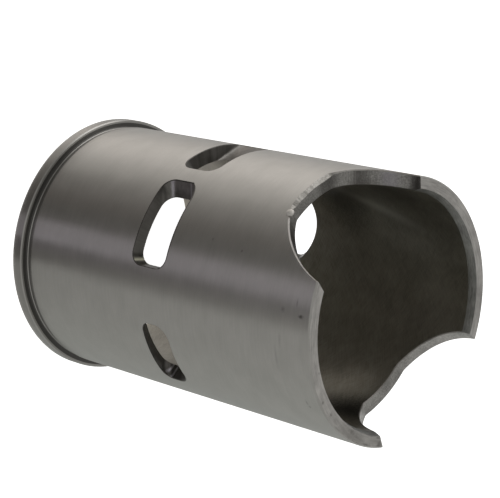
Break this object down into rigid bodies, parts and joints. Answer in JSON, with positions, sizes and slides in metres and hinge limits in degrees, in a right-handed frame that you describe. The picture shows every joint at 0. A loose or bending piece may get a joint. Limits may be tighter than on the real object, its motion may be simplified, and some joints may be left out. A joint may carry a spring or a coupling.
{
  "type": "cylinder liner",
  "caption": "Flanged cast-iron cylinder liner of a two-stroke engine, with scavenge, boost and exhaust ports and a notched skirt.",
  "frame": {"origin": "on the axis of the bore, at the head face of the flange, on which the liner stands", "axes": "+Z along the axis of the bore towards the skirt, +X towards the boost port, -X towards the exhaust port"},
  "size_m": [0.083, 0.083, 0.1243],
  "materials": {
    "liner_iron": "turned and ground, satin"
  },
  "bodies": {
    "root": {"cylinder_liner": "liner_iron"}
  },
  "joints": []
}
